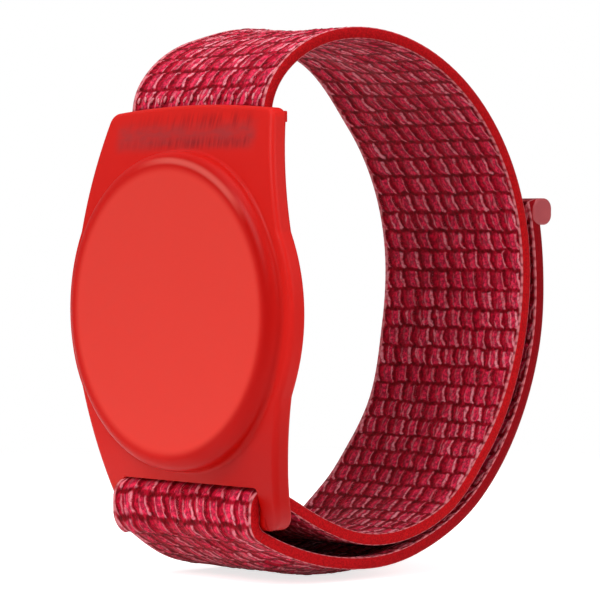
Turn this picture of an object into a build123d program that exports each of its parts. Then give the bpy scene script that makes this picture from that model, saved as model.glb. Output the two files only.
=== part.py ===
from build123d import *
import os
from math import asin, atan2, cos, degrees, hypot, radians, sin

# Wristband with a moulded pod that carries a coin-shaped tag. Millimetres.
# +X runs across the band, the pod faces -Y, +Z is up, and the band stands on edge
# of its loop, as it does round a level forearm. The origin is in the wrist opening,
# level with the middle of the tag.

# --- Tag ---
TAG_RADIUS = 15.8
TAG_THICKNESS = 6.9
TAG_FRONT_ROUND = 3.2
TAG_BACK_ROUND = 3.0
TAG_SHELL_WALL = 0.8
COVER_RADIUS = 12.6
COVER_SHEET = 0.4
COVER_SKIRT = 1.5
COVER_CROWN = 0.25
COVER_GAP = 0.15
BAYONET_LUGS = 3
BAYONET_LUG_LENGTH = 3.0
BAYONET_LUG_DEPTH = 0.6
BAYONET_LUG_HEIGHT = 0.5
BAYONET_TURN = 20.0
BAYONET_PLAY = 0.1
CELL_RADIUS = 10.0
CELL_THICKNESS = 3.2
CELL_RIM = 0.4
CELL_GAP = 0.1
CELL_BACK_GAP = 0.1
FRAME_FLOOR = 0.5
BOARD_THICKNESS = 0.6
BOARD_EDGE_GAP = 1.4
MAGNET_RADIUS = 4.0
MAGNET_THICKNESS = 1.2
COIL_WALL = 0.7
COIL_HEIGHT = 0.8
FRAME_GAP = 0.2
COIL_GAP = 0.25
CONTACT_SHEET = 0.15
CONTACT_WIDTH = 1.6
CONTACT_REACH = 7.5
CONTACT_ANGLE = 60.0
CONTACT_LAP = 2.0
NOTCH_GAP = 0.2
NOTCH_DEPTH = 0.5
SHIELD_LENGTH = 5.4
SHIELD_WIDTH = 4.2
SHIELD_HEIGHT = 0.7
SHIELD_X = 9.7
ANTENNA_WIDTH = 0.9
ANTENNA_THICKNESS = 0.2

# --- Pod ---
POD_FRONT_Y = -24.8
FRONT_WALL = 0.9
POCKET_CLEARANCE = 0.3
FLOOR_CLEARANCE = 0.1
LIP_CLEARANCE = 0.06
LIP_LENGTH = 0.9
LIP_SLOPE = 0.35
POD_WALL = 1.4
POD_DEPTH = 4.8
SHOULDER_RADIUS = 1.4
REAR_ROUND = 0.7
PLATE_STEP = 1.45
PLATE_THICKNESS = 2.1
PLATE_BEND_RADIUS = 50.0
BEND_START_TOP = 7.5
BEND_START_BOTTOM = 5.5
PLATE_TOP_Z = 22.6
PLATE_BOTTOM_Z = -23.6
PLATE_SIDE_INSET = 1.9
PLATE_SIDE_Z = 7.8
LOBE_BORDER = 1.5
PLATE_TOP_MARGIN = 2.7
PLATE_BOTTOM_MARGIN = 2.4
TOP_EDGE_RISE = 0.7
BOTTOM_EDGE_DROP = 0.3
TOP_CORNER_RADIUS = 1.5
BOTTOM_CORNER_RADIUS = 2.2
BORDER_ROUND = 0.6
BACK_ROUND = 0.4
JUNCTION_ROUND = 0.45
SIDE_JUNCTION_ROUND = 2.0

# --- Lugs ---
CHANNEL_SIDE_GAP = 0.35
CHANNEL_GAP = 0.12
CHANNEL_BACK_GAP = 0.25
BRIDGE_LAP = 0.95
BRIDGE_THICKNESS = 0.9
BRIDGE_DROP = 0.2
BRIDGE_ROUND = 0.3
WINDOW_BOTTOM_Z = 17.5
WINDOW_TOP_Z = 20.5
WINDOW_SIDE_GAP = 1.1
BAR_RADIUS = 0.95
BAR_Y = -19.65
BAR_Z = -22.5
BAR_TOP_Z = -21.2
BAR_WRAP_GAP = 0.1
BAR_ROOT = 0.3
SLOT_TOP_Z = -18.75
SLOT_EDGE_ROUND = 0.4
SLOT_RISE = 0.25
SLOT_SKIN = 0.55

# --- Band ---
BAND_WIDTH = 22.0
BAND_THICKNESS = 1.5
LUG_BAND_Y = -20.4
LUG_BAND_TOP_Z = 21.0
LOOP_TOP_Y = -5.5
LOOP_TOP_Z = 29.9
LOOP_REAR_Y = 19.6
LOOP_REAR_Z = 4.0
LOOP_BOTTOM_Y = -2.5
LOOP_BOTTOM_Z = -24.0
LOOP_FRONT_SWEEP = 17.0
HEM_Z = 19.1
HEM_WALL = 0.85
ROD_RADIUS = 0.4
ROD_CLEARANCE = 0.05
ROD_LENGTH = 23.6
TAIL_BOTTOM_Y = -4.5
TAIL_BOTTOM_Z = -27.2
HOOK_THICKNESS = 0.45
HOOK_CLEARANCE = 0.2
HOOK_LENGTH_ANGLE = 46.0
HOOK_SIDE_MARGIN = 1.0
TAIL_END_Z = 12.1
TAB_HEIGHT = 3.1
TAB_DEPTH = 3.1
TAB_LAP = 0.5
TAB_SIDE_OVERHANG = 0.3
TAB_ROUND = 1.2

# --- Derived places ---
HOUSING_RADIUS = TAG_RADIUS + POCKET_CLEARANCE + POD_WALL
LOBE_RADIUS = HOUSING_RADIUS + LOBE_BORDER
PLATE_SIDE_HALF_WIDTH = LOBE_RADIUS - PLATE_SIDE_INSET
PLATE_TOP_HALF_WIDTH = BAND_WIDTH / 2 + PLATE_TOP_MARGIN
PLATE_BOTTOM_HALF_WIDTH = BAND_WIDTH / 2 + PLATE_BOTTOM_MARGIN
BRIDGE_HALF_WIDTH = BAND_WIDTH / 2 + CHANNEL_SIDE_GAP + BRIDGE_LAP
POCKET_RADIUS = TAG_RADIUS + POCKET_CLEARANCE
LIP_RADIUS = TAG_RADIUS + LIP_CLEARANCE
POD_REAR_Y = POD_FRONT_Y + POD_DEPTH
POCKET_FLOOR_Y = POD_FRONT_Y + FRONT_WALL
PLATE_FRONT_Y = POD_FRONT_Y + PLATE_STEP
TAG_FRONT_Y = POCKET_FLOOR_Y + FLOOR_CLEARANCE
TAG_BACK_Y = TAG_FRONT_Y + TAG_THICKNESS
SHELL_INSIDE_Y = TAG_FRONT_Y + TAG_SHELL_WALL
SHELL_BACK_Y = TAG_BACK_Y - COVER_CROWN
CELL_BACK_Y = SHELL_BACK_Y - COVER_SHEET - CELL_BACK_GAP
CELL_FRONT_Y = CELL_BACK_Y - CELL_THICKNESS
FRAME_FRONT_Y = CELL_FRONT_Y - FRAME_FLOOR
BOARD_BACK_Y = FRAME_FRONT_Y
BOARD_FRONT_Y = BOARD_BACK_Y - BOARD_THICKNESS
SKIRT_END_Y = SHELL_BACK_Y - COVER_SKIRT
FRAME_RADIUS = COVER_RADIUS - COVER_SHEET - COVER_GAP
FRAME_BORE = CELL_RADIUS + CELL_GAP
FRAME_REAR_Y = SHELL_BACK_Y - COVER_SHEET
COIL_BORE = MAGNET_RADIUS + COIL_GAP
BOARD_HOLE = COIL_BORE + COIL_WALL + COIL_GAP
LUG_INNER_Y = LUG_BAND_Y + BAND_THICKNESS
BRIDGE_TOP_Z = PLATE_TOP_Z - TOP_EDGE_RISE - BRIDGE_DROP
HEM_RADIUS = ROD_RADIUS + ROD_CLEARANCE + HEM_WALL
HEM_Y = LUG_BAND_Y + HEM_RADIUS
WRAP_RADIUS = BAR_RADIUS + BAR_WRAP_GAP
LAYER_GAP = HOOK_CLEARANCE + HOOK_THICKNESS
TAIL_REAR_Y = LOOP_REAR_Y + BAND_THICKNESS + LAYER_GAP
TAIL_TOP_Z = LOOP_TOP_Z + BAND_THICKNESS + LAYER_GAP
FAR = 80.0


# --- Outline helpers ---
def turned(outline):
    """Turn a (radius, y) face round the tag's own axis."""
    return revolve(outline, Axis.Y, 360)


def across(outline, width):
    """Extrude a (y, z) face evenly across the band."""
    return extrude(Plane.YZ * outline, width / 2, both=True)


def block(x_range, y_range, z_range):
    """A box between three pairs of limits."""
    sizes = [high - low for low, high in (x_range, y_range, z_range)]
    middle = [(high + low) / 2 for low, high in (x_range, y_range, z_range)]
    return Pos(*middle) * Box(*sizes)


def disc(radius, y_range, bore=0.0):
    """A flat disc or ring on the tag's axis."""
    low, high = y_range
    return turned(make_face(Polyline((bore, low), (radius, low), (radius, high), (bore, high), close=True)))


def round_corner(face, corner, radius):
    """Round the one corner of a face that lies nearest to a point."""
    nearest = face.vertices().sort_by_distance(corner)[0]
    return fillet(nearest, radius)


def strip(near_edges, far_edges):
    """The face between two chains of edges that run side by side."""
    ends = [Line(near_edges[0] @ 0, far_edges[0] @ 0), Line(near_edges[-1] @ 1, far_edges[-1] @ 1)]
    return make_face([*near_edges, *far_edges, *ends])


def oval(center, reach, grow, start, end):
    """A stretch of an upright ellipse, offset outwards, between two angles in degrees."""
    return EllipticalCenterArc(center, reach[0] + grow, reach[1] + grow, start, arc_size=end - start)


# --- Pod ---
def plate_edge_y(radius, z):
    """Depth of a plate face at a height: flat in the middle, bent back at both ends."""
    beyond = max(z - BEND_START_TOP, -z - BEND_START_BOTTOM, 0.0)
    return PLATE_FRONT_Y + PLATE_BEND_RADIUS - radius * cos(asin(beyond / radius))


def plate_profile():
    """Side section of the plate: a straight middle with an arc at each end."""
    center_y = PLATE_FRONT_Y + PLATE_BEND_RADIUS
    back_radius = PLATE_BEND_RADIUS - PLATE_THICKNESS
    top = degrees(asin((PLATE_TOP_Z + 1 - BEND_START_TOP) / back_radius))
    bottom = degrees(asin((-PLATE_BOTTOM_Z + 1 - BEND_START_BOTTOM) / back_radius))
    faces = []
    for radius in (PLATE_BEND_RADIUS, back_radius):
        upper = CenterArc((center_y, BEND_START_TOP), radius, 180 - top, top)
        lower = CenterArc((center_y, -BEND_START_BOTTOM), radius, 180, bottom)
        faces.append([upper, Line(upper @ 1, lower @ 0), lower])
    return strip(*faces)


def plate_outline():
    """Front view of the plate: tapered to both ends, with bowed ends and round corners."""
    top, low = PLATE_TOP_Z - TOP_EDGE_RISE, PLATE_BOTTOM_Z + BOTTOM_EDGE_DROP
    upper = ThreePointArc((-PLATE_TOP_HALF_WIDTH, top), (0, PLATE_TOP_Z), (PLATE_TOP_HALF_WIDTH, top))
    lower = ThreePointArc((PLATE_BOTTOM_HALF_WIDTH, low), (0, PLATE_BOTTOM_Z),
                          (-PLATE_BOTTOM_HALF_WIDTH, low))
    side, waist = PLATE_SIDE_HALF_WIDTH, LOBE_RADIUS / 2
    right = Polyline(upper @ 1, (side, PLATE_SIDE_Z), (waist, 0), (side, -PLATE_SIDE_Z), lower @ 0)
    left = Polyline(lower @ 1, (-side, -PLATE_SIDE_Z), (-waist, 0), (-side, PLATE_SIDE_Z), upper @ 0)
    outline = make_face([upper, right, lower, left]) + Circle(LOBE_RADIUS)
    outline = fillet(outline.vertices().group_by(Axis.Y)[-1], TOP_CORNER_RADIUS)
    outline = fillet(outline.vertices().group_by(Axis.Y)[0], BOTTOM_CORNER_RADIUS)

    def at_lobe(point):
        return abs(hypot(point.X, point.Y) - LOBE_RADIUS) < 0.01 and abs(point.Y) > PLATE_SIDE_Z / 2
    return fillet(outline.vertices().filter_by(at_lobe), SIDE_JUNCTION_ROUND)


def border_edges(plate, radius):
    """The plate's outer edges on one of its two broad faces."""
    def on_face(edge):
        ends = [edge @ 0.0, edge @ 0.37, edge @ 1.0]
        level = all(abs(p.Y - plate_edge_y(radius, p.Z)) < 0.01 for p in ends)
        seam = abs((edge @ 0.0).Z - (edge @ 1.0).Z) < 1e-6 and edge.geom_type == GeomType.LINE
        return level and not seam
    return plate.edges().filter_by(on_face)


def make_plate():
    """The bent plate that carries both lugs, with its soft border."""
    plate = across(plate_profile(), FAR) & extrude(Plane.XZ * plate_outline(), FAR, both=True)
    plate = fillet(border_edges(plate, PLATE_BEND_RADIUS), BORDER_ROUND)
    return fillet(border_edges(plate, PLATE_BEND_RADIUS - PLATE_THICKNESS), BACK_ROUND)


def make_housing():
    """The round housing that stands out of the plate over the tag."""
    section = make_face(Polyline((0, POD_FRONT_Y), (HOUSING_RADIUS, POD_FRONT_Y),
                                 (HOUSING_RADIUS, POD_REAR_Y), (0, POD_REAR_Y), close=True))
    section = round_corner(section, (HOUSING_RADIUS, POD_FRONT_Y), SHOULDER_RADIUS)
    section = round_corner(section, (HOUSING_RADIUS, POD_REAR_Y), REAR_ROUND)
    return turned(section)


def make_pocket():
    """The space for the tag, with the lip at its mouth."""
    lip_start = POD_REAR_Y - LIP_LENGTH
    pocket = make_face(Polyline(
        (0, POCKET_FLOOR_Y), (POCKET_RADIUS, POCKET_FLOOR_Y), (POCKET_RADIUS, lip_start - LIP_SLOPE),
        (LIP_RADIUS, lip_start), (LIP_RADIUS, POD_REAR_Y - LIP_SLOPE), (POCKET_RADIUS, POD_REAR_Y),
        (POCKET_RADIUS, 0), (0, 0), close=True))
    return turned(round_corner(pocket, (POCKET_RADIUS, POCKET_FLOOR_Y), SHOULDER_RADIUS - FRONT_WALL))


def make_top_lug_cuts():
    """The channel that the band comes down through, and the window that its hem sits in."""
    front_y = LUG_BAND_Y - CHANNEL_GAP
    channel_half = BAND_WIDTH / 2 + CHANNEL_SIDE_GAP
    window_half = BAND_WIDTH / 2 + WINDOW_SIDE_GAP
    channel = block((-channel_half, channel_half), (front_y, LUG_INNER_Y + CHANNEL_BACK_GAP),
                    (WINDOW_BOTTOM_Z, FAR))
    window = block((-window_half, window_half), (front_y, 0), (WINDOW_BOTTOM_Z, WINDOW_TOP_Z))
    mouth = block((-channel_half, channel_half), (front_y, 0), (BRIDGE_TOP_Z, FAR))
    return channel + window + mouth


def make_bridge():
    """The bar behind the band at the top edge, which keeps the hem in its window."""
    front_y = plate_edge_y(PLATE_BEND_RADIUS, WINDOW_TOP_Z) + BACK_ROUND + BORDER_ROUND
    back_y = LUG_INNER_Y + CHANNEL_BACK_GAP + BRIDGE_THICKNESS
    bridge = block((-BRIDGE_HALF_WIDTH, BRIDGE_HALF_WIDTH), (front_y, back_y), (WINDOW_TOP_Z, BRIDGE_TOP_Z))
    rear = bridge.edges().filter_by(lambda e: e.center().Y > back_y - 0.01)
    return fillet(rear, BRIDGE_ROUND)


def make_bottom_slot():
    """The opening that the band comes out through, which rises a little behind its front edge."""
    half = BAND_WIDTH / 2 + CHANNEL_SIDE_GAP
    behind_skin = plate_edge_y(PLATE_BEND_RADIUS, SLOT_TOP_Z) + SLOT_SKIN
    slot = block((-half, half), (-FAR, 0), (-FAR, SLOT_TOP_Z))
    slot = fillet(slot.edges().filter_by(Axis.Y).group_by(Axis.Z)[-1], SLOT_EDGE_ROUND)
    return slot + block((-half, half), (behind_skin, 0), (-FAR, SLOT_TOP_Z + SLOT_RISE))


def make_bar():
    """The flat bar with round edges that the band turns over."""
    half = BAND_WIDTH / 2 + CHANNEL_SIDE_GAP + BAR_ROOT
    middle_z = (BAR_TOP_Z + BAR_Z) / 2
    section = Rot(0, 0, 90) * SlotCenterToCenter(BAR_TOP_Z - BAR_Z, 2 * BAR_RADIUS)
    return across(Pos(BAR_Y, middle_z) * section, 2 * half)


def make_pod_case():
    """One elastomer moulding: plate, housing, pocket and both lugs."""
    case = make_plate() + make_housing()

    def at_junction(edge):
        points = [edge @ 0.0, edge @ 0.37, edge @ 1.0]
        on_wall = all(abs(hypot(p.X, p.Z) - HOUSING_RADIUS) < 0.01 for p in points)
        return on_wall and all(abs(p.Y - plate_edge_y(PLATE_BEND_RADIUS, p.Z)) < 0.01 for p in points)
    case = fillet(case.edges().filter_by(at_junction), JUNCTION_ROUND)
    case = case + make_bridge() - make_pocket() - make_top_lug_cuts() - make_bottom_slot()
    return case + make_bar()


# --- Band ---
LUG_OVAL = ((LOOP_TOP_Y, LUG_BAND_TOP_Z), (LOOP_TOP_Y - LUG_INNER_Y, LOOP_TOP_Z - LUG_BAND_TOP_Z))
TOP_OVAL = ((LOOP_TOP_Y, LOOP_REAR_Z), (LOOP_REAR_Y - LOOP_TOP_Y, LOOP_TOP_Z - LOOP_REAR_Z))
LOW_OVAL = ((LOOP_BOTTOM_Y, LOOP_REAR_Z), (LOOP_REAR_Y - LOOP_BOTTOM_Y, LOOP_REAR_Z - LOOP_BOTTOM_Z))
TAIL_LOW_OVAL = ((TAIL_BOTTOM_Y, LOOP_REAR_Z), (TAIL_REAR_Y - TAIL_BOTTOM_Y, LOOP_REAR_Z - TAIL_BOTTOM_Z))
TAIL_TOP_OVAL = ((LOOP_TOP_Y, LOOP_REAR_Z), (TAIL_REAR_Y - LOOP_TOP_Y, TAIL_TOP_Z - LOOP_REAR_Z))


def bar_approach():
    """Heading, in degrees, of the straight run that leaves the loop's sweep and meets the bar's wrap."""
    dy = BAR_Y - LOOP_BOTTOM_Y
    dz = BAR_TOP_Z - (LOOP_BOTTOM_Z + LOOP_FRONT_SWEEP)
    reach = LOOP_FRONT_SWEEP + BAND_THICKNESS + WRAP_RADIUS
    return degrees(atan2(dz, dy)) % 360 - degrees(asin(reach / hypot(dy, dz)))


def tail_sweep():
    """Radius of the arc under the loop that leaves the bar's wrap and levels out, and where it starts."""
    dy, dz = BAR_Y - TAIL_BOTTOM_Y, BAR_Z - TAIL_BOTTOM_Z
    radius = (dy ** 2 + dz ** 2 - WRAP_RADIUS ** 2) / (2 * (dz - WRAP_RADIUS))
    return radius, degrees(atan2(dz - radius, dy))


def band_face(grow, wrap_grow):
    """One face of the band from the hem round the loop to the far side of the bar."""
    heading = bar_approach()
    split = tail_sweep()[1] % 360
    lug_y = LUG_INNER_Y - grow
    sweep_center = (LOOP_BOTTOM_Y, LOOP_BOTTOM_Z + LOOP_FRONT_SWEEP)
    sweep = CenterArc(sweep_center, LOOP_FRONT_SWEEP + grow, 270, heading + 90 - 270)
    radius = WRAP_RADIUS + wrap_grow
    over = CenterArc((BAR_Y, BAR_TOP_Z), radius, heading - 90, 180 - heading + 90)
    under = CenterArc((BAR_Y, BAR_Z), radius, 180, split - 180)
    return [Line((lug_y, HEM_Z), (lug_y, LUG_BAND_TOP_Z)), oval(*LUG_OVAL, grow, 180, 90),
            oval(*TOP_OVAL, grow, 90, 0), oval(*LOW_OVAL, grow, 0, -90),
            sweep, Line(sweep @ 1, over @ 0), over, Line(over @ 1, under @ 0), under]


def make_wrist_band():
    """The band from its hem in the top lug, round the wrist and over the bar of the bottom lug."""
    run = across(strip(band_face(0, BAND_THICKNESS), band_face(BAND_THICKNESS, 0)), BAND_WIDTH)
    hem_bore = ROD_RADIUS + ROD_CLEARANCE
    hem = Pos(HEM_Y, HEM_Z) * (Circle(HEM_RADIUS) - Circle(hem_bore))
    bore = across(Pos(HEM_Y, HEM_Z) * Circle(hem_bore), FAR)
    return run + across(hem, BAND_WIDTH) - bore


def make_hem_rod():
    """The stiff rod in the hem, wider than the channel above it."""
    rod = Rot(0, 90, 0) * Cylinder(ROD_RADIUS, ROD_LENGTH)
    return Pos(0, HEM_Y, HEM_Z) * fillet(rod.edges(), ROD_RADIUS / 2)


def tail_end_angle():
    """Angle on the loop's upper rear quarter at which the free end stops."""
    return degrees(asin((TAIL_END_Z - LOOP_REAR_Z) / TAIL_TOP_OVAL[1][1]))


def tail_face(grow):
    """One face of the free end, from below the bar up the back of the loop."""
    radius, split = tail_sweep()
    center = (TAIL_BOTTOM_Y, TAIL_BOTTOM_Z + radius)
    return [CenterArc(center, radius + grow, split, -90 - split), oval(*TAIL_LOW_OVAL, grow, -90, 0),
            oval(*TAIL_TOP_OVAL, grow, 0, tail_end_angle())]


def make_fastening_tail():
    """The free end of the band, which folds back outside the loop."""
    return across(strip(tail_face(0), tail_face(BAND_THICKNESS)), BAND_WIDTH)


def make_hook_patch():
    """The hook tape on the inner side of the free end."""
    top = tail_end_angle() - 2
    faces = [[oval(*TAIL_LOW_OVAL, grow, -HOOK_LENGTH_ANGLE, 0), oval(*TAIL_TOP_OVAL, grow, 0, top)]
             for grow in (-HOOK_THICKNESS, 0)]
    return across(strip(*faces), BAND_WIDTH - 2 * HOOK_SIDE_MARGIN)


def make_pull_tab():
    """The moulded bead that caps the free end."""
    inner_y = TAIL_REAR_Y - TAB_LAP
    width = BAND_WIDTH + 2 * TAB_SIDE_OVERHANG
    low = TAIL_END_Z + TAB_LAP - TAB_HEIGHT
    bead = block((-width / 2, width / 2), (inner_y, inner_y + TAB_DEPTH), (low, low + TAB_HEIGHT))
    bead = fillet(bead.edges().filter_by(Axis.X), TAB_ROUND)
    bead = fillet(bead.edges().filter_by(lambda e: abs(e.center().X) > width / 2 - 0.01), TAB_SIDE_OVERHANG)
    return bead - make_fastening_tail() - make_hook_patch()


# --- Tag ---
def make_tag_shell():
    """The tag's plastic shell: a round-edged cup with an opening for the battery cover."""
    opening = COVER_RADIUS + COVER_GAP

    def cup(inset, front_round, back_round):
        radius, front, back = TAG_RADIUS - inset, TAG_FRONT_Y + inset, SHELL_BACK_Y - inset
        face = make_face(Polyline((0, front), (radius, front), (radius, back), (0, back), close=True))
        face = round_corner(face, (radius, front), front_round)
        return turned(round_corner(face, (radius, back), back_round))
    shell = cup(0, TAG_FRONT_ROUND, TAG_BACK_ROUND)
    shell -= cup(TAG_SHELL_WALL, TAG_FRONT_ROUND - TAG_SHELL_WALL, TAG_BACK_ROUND - TAG_SHELL_WALL)
    return shell - disc(opening, (SHELL_BACK_Y - 2 * TAG_SHELL_WALL, 0))


def spread(count, solid, phase=0.0):
    """Copies of a solid spaced evenly round the tag's axis."""
    return [Rot(0, phase + 360 * i / count, 0) * solid for i in range(count)]


def make_battery_cover():
    """The crowned steel cover, its skirt and its inward bayonet lugs."""
    rim, inside = COVER_RADIUS, COVER_RADIUS - COVER_SHEET
    crown = ThreePointArc((0, TAG_BACK_Y), (rim / 2, TAG_BACK_Y - COVER_CROWN / 4), (rim, SHELL_BACK_Y))
    under = ThreePointArc((0, TAG_BACK_Y - COVER_SHEET),
                          (rim / 2, TAG_BACK_Y - COVER_CROWN / 4 - COVER_SHEET),
                          (rim, SHELL_BACK_Y - COVER_SHEET))
    cap = turned(make_face([crown, Line(crown @ 1, under @ 1), under, Line(under @ 0, crown @ 0)]))
    skirt = disc(rim, (SKIRT_END_Y, SHELL_BACK_Y - COVER_SHEET / 2), inside)
    half = BAYONET_LUG_LENGTH / 2
    lug = block((inside - BAYONET_LUG_DEPTH, inside + COVER_SHEET / 2),
                (SKIRT_END_Y, SKIRT_END_Y + BAYONET_LUG_HEIGHT), (-half, half))
    cover = cap + skirt
    for copy in spread(BAYONET_LUGS, lug):
        cover += copy
    return cover


def make_tag_frame():
    """The inner frame: a floor across the shell, a ring round the cell and the bayonet grooves."""
    inside = TAG_RADIUS - TAG_SHELL_WALL - FRAME_GAP
    frame = disc(inside, (FRAME_FRONT_Y, CELL_FRONT_Y))
    frame += disc(FRAME_RADIUS, (CELL_FRONT_Y, FRAME_REAR_Y - CELL_BACK_GAP), FRAME_BORE)
    groove_floor = COVER_RADIUS - COVER_SHEET - BAYONET_LUG_DEPTH - BAYONET_PLAY
    groove_y = (SKIRT_END_Y - BAYONET_PLAY, SKIRT_END_Y + BAYONET_LUG_HEIGHT + BAYONET_PLAY)
    lug_angle = degrees(2 * asin(BAYONET_LUG_LENGTH / 2 / groove_floor)) + 4
    sector = disc(COVER_RADIUS, groove_y, groove_floor)
    keep = turned_wedge(lug_angle + BAYONET_TURN)
    entry = disc(COVER_RADIUS, (groove_y[0], 0), groove_floor) & turned_wedge(lug_angle)
    half_turn = BAYONET_TURN / 2
    for copy in spread(BAYONET_LUGS, sector & keep, half_turn):
        frame -= copy
    for copy in spread(BAYONET_LUGS, entry, BAYONET_TURN):
        frame -= copy
    half = CONTACT_WIDTH / 2 + NOTCH_GAP
    notch = block((FRAME_BORE - CONTACT_LAP / 4, FRAME_BORE + NOTCH_DEPTH),
                  (FRAME_FRONT_Y, CELL_BACK_Y - CONTACT_LAP / 2), (-half, half))
    for angle in (CONTACT_ANGLE, CONTACT_ANGLE + 180):
        frame -= Rot(0, angle, 0) * notch
    groove_y = (CELL_FRONT_Y - CONTACT_SHEET, CELL_FRONT_Y)
    frame -= block((-half, CONTACT_REACH + NOTCH_GAP), groove_y, (-half, half))
    return frame - block((CONTACT_REACH - 2 * NOTCH_GAP - CONTACT_SHEET, CONTACT_REACH + NOTCH_GAP),
                         (FRAME_FRONT_Y, CELL_FRONT_Y), (-half, half))


def turned_wedge(angle):
    """A tall wedge about the tag's axis, centred on +X."""
    section = make_face(Polyline((0, -FAR), (FAR, -FAR), (FAR, FAR), (0, FAR), close=True))
    return Rot(0, -angle / 2, 0) * revolve(section, Axis.Y, angle)


def make_coin_cell():
    """The coin cell, with its smaller cap towards the frame."""
    cap = CELL_RADIUS - 2 * CELL_RIM
    rim = CELL_FRONT_Y + CELL_RIM
    section = Polyline((0, CELL_FRONT_Y), (cap, CELL_FRONT_Y), (cap, rim),
                       (CELL_RADIUS - CELL_RIM / 2, rim),
                       (CELL_RADIUS, rim + CELL_RIM), (CELL_RADIUS, CELL_BACK_Y - CELL_RIM / 2),
                       (CELL_RADIUS - CELL_RIM / 2, CELL_BACK_Y), (0, CELL_BACK_Y), close=True)
    return turned(make_face(section))


def make_positive_contact(angle):
    """An upright spring beside the cell, with its foot on the board."""
    half = CONTACT_WIDTH / 2
    blade = block((CELL_RADIUS + CELL_GAP / 4, CELL_RADIUS + CELL_GAP / 4 + CONTACT_SHEET),
                  (BOARD_BACK_Y, CELL_BACK_Y - CONTACT_LAP), (-half, half))
    foot = block((CELL_RADIUS + CELL_GAP / 4, FRAME_BORE + NOTCH_DEPTH - NOTCH_GAP / 2),
                 (BOARD_BACK_Y, BOARD_BACK_Y + CONTACT_SHEET), (-half, half))
    return Rot(0, angle, 0) * (blade + foot)


def make_negative_contact():
    """The leaf under the cell, with its leg down to the board."""
    half = CONTACT_WIDTH / 2
    leaf = block((0, CONTACT_REACH), (CELL_FRONT_Y - CONTACT_SHEET, CELL_FRONT_Y), (-half, half))
    leg = block((CONTACT_REACH - CONTACT_SHEET, CONTACT_REACH), (BOARD_BACK_Y, CELL_FRONT_Y), (-half, half))
    return leaf + leg


def make_circuit_board():
    """The ring-shaped board against the frame's floor."""
    radius = TAG_RADIUS - TAG_SHELL_WALL - BOARD_EDGE_GAP
    return disc(radius, (BOARD_FRONT_Y, BOARD_BACK_Y), BOARD_HOLE)


def make_antenna_ring():
    """The foil ring on the frame's floor, outside the board."""
    radius = TAG_RADIUS - TAG_SHELL_WALL - 2 * FRAME_GAP
    return disc(radius, (FRAME_FRONT_Y - ANTENNA_THICKNESS, FRAME_FRONT_Y), radius - ANTENNA_WIDTH)


def make_shield_can():
    """The folded can over the radio chip."""
    half_x, half_z = SHIELD_LENGTH / 2, SHIELD_WIDTH / 2
    can = block((SHIELD_X - half_x, SHIELD_X + half_x), (BOARD_FRONT_Y - SHIELD_HEIGHT, BOARD_FRONT_Y),
                (-half_z, half_z))
    can = fillet(can.edges().filter_by(Axis.Y), CONTACT_SHEET * 3)
    opening = can.faces().sort_by(Axis.Y)[-1]
    return offset(can, -CONTACT_SHEET, openings=opening)


def parts():
    """Every piece by its name."""
    return {
        "pod_case": make_pod_case(),
        "wrist_band": make_wrist_band(),
        "hem_rod": make_hem_rod(),
        "fastening_tail": make_fastening_tail(),
        "hook_patch": make_hook_patch(),
        "pull_tab": make_pull_tab(),
        "tag_shell": make_tag_shell(),
        "tag_frame": make_tag_frame(),
        "battery_cover": make_battery_cover(),
        "coin_cell": make_coin_cell(),
        "positive_contact_left": make_positive_contact(CONTACT_ANGLE + 180),
        "positive_contact_right": make_positive_contact(CONTACT_ANGLE),
        "negative_contact": make_negative_contact(),
        "circuit_board": make_circuit_board(),
        "shield_can": make_shield_can(),
        "sounder_magnet": disc(MAGNET_RADIUS, (FRAME_FRONT_Y - MAGNET_THICKNESS, FRAME_FRONT_Y)),
        "sounder_coil": disc(COIL_BORE + COIL_WALL, (SHELL_INSIDE_Y, SHELL_INSIDE_Y + COIL_HEIGHT),
                             COIL_BORE),
        "antenna_ring": make_antenna_ring(),
    }


os.makedirs("parts", exist_ok=True)
for name, solid in parts().items():
    export_step(solid, f"parts/{name}.step")
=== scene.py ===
"""Looks for a woven wristband with a soft pod that holds a round tag."""

import bisect
import logging
import math
import random
from dataclasses import dataclass, field
from enum import Enum
from typing import Sequence

import bmesh
import bpy
from mathutils import Matrix, Vector


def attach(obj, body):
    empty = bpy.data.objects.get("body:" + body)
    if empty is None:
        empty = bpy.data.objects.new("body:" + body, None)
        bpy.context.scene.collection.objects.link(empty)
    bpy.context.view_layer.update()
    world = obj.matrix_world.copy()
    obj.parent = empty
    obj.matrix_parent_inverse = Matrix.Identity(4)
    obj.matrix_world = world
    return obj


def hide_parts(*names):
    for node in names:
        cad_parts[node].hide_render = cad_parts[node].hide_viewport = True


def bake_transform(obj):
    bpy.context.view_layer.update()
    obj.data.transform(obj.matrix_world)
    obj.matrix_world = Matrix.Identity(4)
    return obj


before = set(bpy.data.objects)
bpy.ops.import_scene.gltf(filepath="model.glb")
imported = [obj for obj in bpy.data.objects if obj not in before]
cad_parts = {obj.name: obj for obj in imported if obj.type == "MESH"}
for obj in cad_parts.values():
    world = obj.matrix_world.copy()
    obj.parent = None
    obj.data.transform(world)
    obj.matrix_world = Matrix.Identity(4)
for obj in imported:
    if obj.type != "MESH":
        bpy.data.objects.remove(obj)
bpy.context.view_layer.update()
MM = 0.001
CLOTH_THICKNESS = 1.5
LOG = logging.getLogger("wristband")

FLOAT = "NodeSocketFloat"
VECTOR = "NodeSocketVector"

Point = tuple[float, float]
Socket = bpy.types.NodeSocket


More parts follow.
